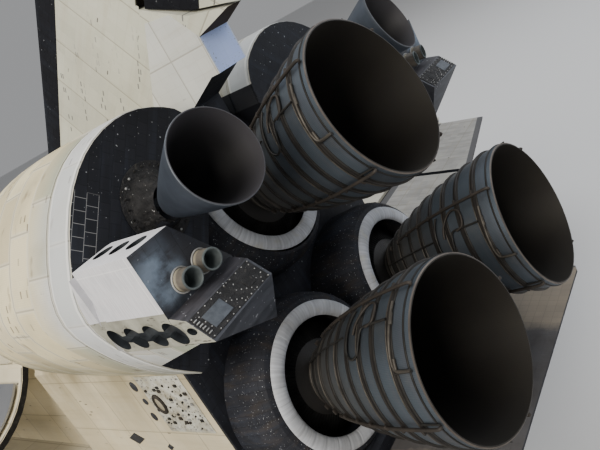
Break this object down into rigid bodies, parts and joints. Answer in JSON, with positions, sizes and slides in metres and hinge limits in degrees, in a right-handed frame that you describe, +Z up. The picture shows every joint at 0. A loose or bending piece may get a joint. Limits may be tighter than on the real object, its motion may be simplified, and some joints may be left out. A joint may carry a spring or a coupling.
{
  "type": "winged spaceplane orbiter",
  "caption": "Reusable winged spaceplane parked on its landing gear with open payload bay doors, gimballing bell engines at the tail, elevons, split rudder and body flap.",
  "frame": {"origin": "on the ground under the middle of the length, on the centre plane", "axes": "+X port, +Y aft along the fuselage towards the engines, +Z up"},
  "size_m": [23.792, 37.236, 17.221],
  "materials": {
    "white_tile": "matte silica tiles, cream white with age",
    "blanket": "quilted silica blankets",
    "black_tile": "matte black tiles with pale gaps",
    "carbon": "satin grey reinforced carbon",
    "bell_steel": "heat-stained tube-wall bell",
    "orbital_bell": "smooth dark blue-grey bell",
    "dark_steel": "dull",
    "gear_paint": "satin white paint",
    "tyre_rubber": "worn rubber"
  },
  "bodies": {
    "airframe": {"nose_cap": "carbon", "forward_fuselage": "white_tile", "mid_fuselage": "white_tile", "aft_fuselage": "white_tile", "engine_dome_1": "black_tile", "engine_dome_2": "black_tile", "engine_dome_3": "black_tile", "dome_ring_1": "blanket", "dome_ring_2": "blanket", "dome_ring_3": "blanket", "pod_left": "blanket", "pod_right": "blanket", "thruster_housing_left": "black_tile", "thruster_housing_right": "black_tile", "wing_left": "white_tile", "wing_right": "white_tile", "vertical_fin": "white_tile", "drag_chute_housing": "white_tile", "nose_gear_leg": "gear_paint", "nose_gear_door_left": "black_tile", "nose_gear_door_right": "black_tile", "main_gear_leg_left": "gear_paint", "main_gear_leg_right": "gear_paint", "main_gear_door_left": "black_tile", "main_gear_door_right": "black_tile"},
    "payload_door_left": {"payload_door_left": "blanket"},
    "payload_door_right": {"payload_door_right": "blanket"},
    "main_gimbal_1": {"main_gimbal_1": "dark_steel"},
    "main_engine_1": {"main_engine_1": "bell_steel"},
    "main_gimbal_2": {"main_gimbal_2": "dark_steel"},
    "main_engine_2": {"main_engine_2": "bell_steel"},
    "main_gimbal_3": {"main_gimbal_3": "dark_steel"},
    "main_engine_3": {"main_engine_3": "bell_steel"},
    "orbital_gimbal_left": {"orbital_gimbal_left": "dark_steel"},
    "orbital_engine_left": {"orbital_engine_left": "orbital_bell"},
    "orbital_gimbal_right": {"orbital_gimbal_right": "dark_steel"},
    "orbital_engine_right": {"orbital_engine_right": "orbital_bell"},
    "elevon_inboard_left": {"elevon_inboard_left": "white_tile"},
    "elevon_outboard_left": {"elevon_outboard_left": "white_tile"},
    "elevon_inboard_right": {"elevon_inboard_right": "white_tile"},
    "elevon_outboard_right": {"elevon_outboard_right": "white_tile"},
    "body_flap": {"body_flap": "black_tile"},
    "rudder": {"rudder_hinge_tube": "gear_paint"},
    "speed_brake_left": {"speed_brake_left": "white_tile"},
    "speed_brake_right": {"speed_brake_right": "white_tile"},
    "nose_steering": {"nose_gear_steering": "gear_paint"},
    "nose_wheels": {"nose_wheels": "tyre_rubber"},
    "main_wheels_left": {"main_wheels_left": "tyre_rubber"},
    "main_wheels_right": {"main_wheels_right": "tyre_rubber"}
  },
  "joints": [
    {"name": "payload_door_left_hinge", "type": "hinge", "parent": "airframe", "child": "payload_door_left", "pos_m": [2.692, 0, 7.112], "axis": [0, -1, 0], "range_deg": [-23.5, 152]},
    {"name": "payload_door_right_hinge", "type": "hinge", "parent": "airframe", "child": "payload_door_right", "pos_m": [-2.692, 0, 7.112], "axis": [0, 1, 0], "range_deg": [-23.5, 152]},
    {"name": "main_engine_1_pitch", "type": "hinge", "parent": "airframe", "child": "main_gimbal_1", "pos_m": [0, 12.116, 7.696], "axis": [1, 0, 0], "range_deg": [-10.5, 10.5]},
    {"name": "main_engine_1_yaw", "type": "hinge", "parent": "main_gimbal_1", "child": "main_engine_1", "pos_m": [0, 12.116, 7.696], "axis": [0, 0, 1], "range_deg": [-8.5, 8.5]},
    {"name": "main_engine_2_pitch", "type": "hinge", "parent": "airframe", "child": "main_gimbal_2", "pos_m": [1.346, 12.704, 5.147], "axis": [1, 0, 0], "range_deg": [-10.5, 10.5]},
    {"name": "main_engine_2_yaw", "type": "hinge", "parent": "main_gimbal_2", "child": "main_engine_2", "pos_m": [1.346, 12.704, 5.147], "axis": [0, 0, 1], "range_deg": [-8.5, 8.5]},
    {"name": "main_engine_3_pitch", "type": "hinge", "parent": "airframe", "child": "main_gimbal_3", "pos_m": [-1.346, 12.704, 5.147], "axis": [1, 0, 0], "range_deg": [-10.5, 10.5]},
    {"name": "main_engine_3_yaw", "type": "hinge", "parent": "main_gimbal_3", "child": "main_engine_3", "pos_m": [-1.346, 12.704, 5.147], "axis": [0, 0, 1], "range_deg": [-8.5, 8.5]},
    {"name": "orbital_engine_left_pitch", "type": "hinge", "parent": "airframe", "child": "orbital_gimbal_left", "pos_m": [2.235, 13.97, 8.941], "axis": [1, 0, 0], "range_deg": [-6, 6]},
    {"name": "orbital_engine_left_yaw", "type": "hinge", "parent": "orbital_gimbal_left", "child": "orbital_engine_left", "pos_m": [2.235, 13.97, 8.941], "axis": [0, 0, 1], "range_deg": [-7, 7]},
    {"name": "orbital_engine_right_pitch", "type": "hinge", "parent": "airframe", "child": "orbital_gimbal_right", "pos_m": [-2.235, 13.97, 8.941], "axis": [1, 0, 0], "range_deg": [-6, 6]},
    {"name": "orbital_engine_right_yaw", "type": "hinge", "parent": "orbital_gimbal_right", "child": "orbital_engine_right", "pos_m": [-2.235, 13.97, 8.941], "axis": [0, 0, 1], "range_deg": [-7, 7]},
    {"name": "elevon_inboard_left_hinge", "type": "hinge", "parent": "airframe", "child": "elevon_inboard_left", "pos_m": [3.099, 10.643, 3.962], "axis": [0.9981, 0, 0.0611], "range_deg": [-20, 35]},
    {"name": "elevon_outboard_left_hinge", "type": "hinge", "parent": "airframe", "child": "elevon_outboard_left", "pos_m": [3.099, 10.643, 3.962], "axis": [0.9981, 0, 0.0611], "range_deg": [-20, 35]},
    {"name": "elevon_inboard_right_hinge", "type": "hinge", "parent": "airframe", "child": "elevon_inboard_right", "pos_m": [-3.099, 10.643, 3.962], "axis": [0.9981, 0, -0.0611], "range_deg": [-20, 35]},
    {"name": "elevon_outboard_right_hinge", "type": "hinge", "parent": "airframe", "child": "elevon_outboard_right", "pos_m": [-3.099, 10.643, 3.962], "axis": [0.9981, 0, -0.0611], "range_deg": [-20, 35]},
    {"name": "body_flap_hinge", "type": "hinge", "parent": "airframe", "child": "body_flap", "pos_m": [0, 14.326, 3.734], "axis": [1, 0, 0], "range_deg": [-22.5, 11.7]},
    {"name": "rudder_hinge", "type": "hinge", "parent": "airframe", "child": "rudder", "pos_m": [0, 13.41129, 11.303], "axis": [0, 0.571, 0.821], "range_deg": [-22.8, 22.8]},
    {"name": "speed_brake_left_hinge", "type": "hinge", "parent": "rudder", "child": "speed_brake_left", "pos_m": [0, 13.41129, 11.303], "axis": [0, -0.571, -0.821], "range_deg": [0, 43.7]},
    {"name": "speed_brake_right_hinge", "type": "hinge", "parent": "rudder", "child": "speed_brake_right", "pos_m": [0, 13.41129, 11.303], "axis": [0, 0.571, 0.821], "range_deg": [0, 43.7]},
    {"name": "nose_wheel_steering", "type": "hinge", "parent": "airframe", "child": "nose_steering", "pos_m": [0, -14.971, 1.2], "axis": [0, 0, 1], "range_deg": [-10, 10]},
    {"name": "nose_wheel_spin", "type": "hinge", "parent": "nose_steering", "child": "nose_wheels", "pos_m": [0, -14.971, 0.406], "axis": [1, 0, 0], "continuous": true},
    {"name": "main_wheel_left_spin", "type": "hinge", "parent": "airframe", "child": "main_wheels_left", "pos_m": [3.454, 5.182, 0.565], "axis": [1, 0, 0], "continuous": true},
    {"name": "main_wheel_right_spin", "type": "hinge", "parent": "airframe", "child": "main_wheels_right", "pos_m": [-3.454, 5.182, 0.565], "axis": [1, 0, 0], "continuous": true}
  ],
  "couplings": [
    {"joint": "speed_brake_right_hinge", "follows": "speed_brake_left_hinge", "ratio": 1}
  ]
}
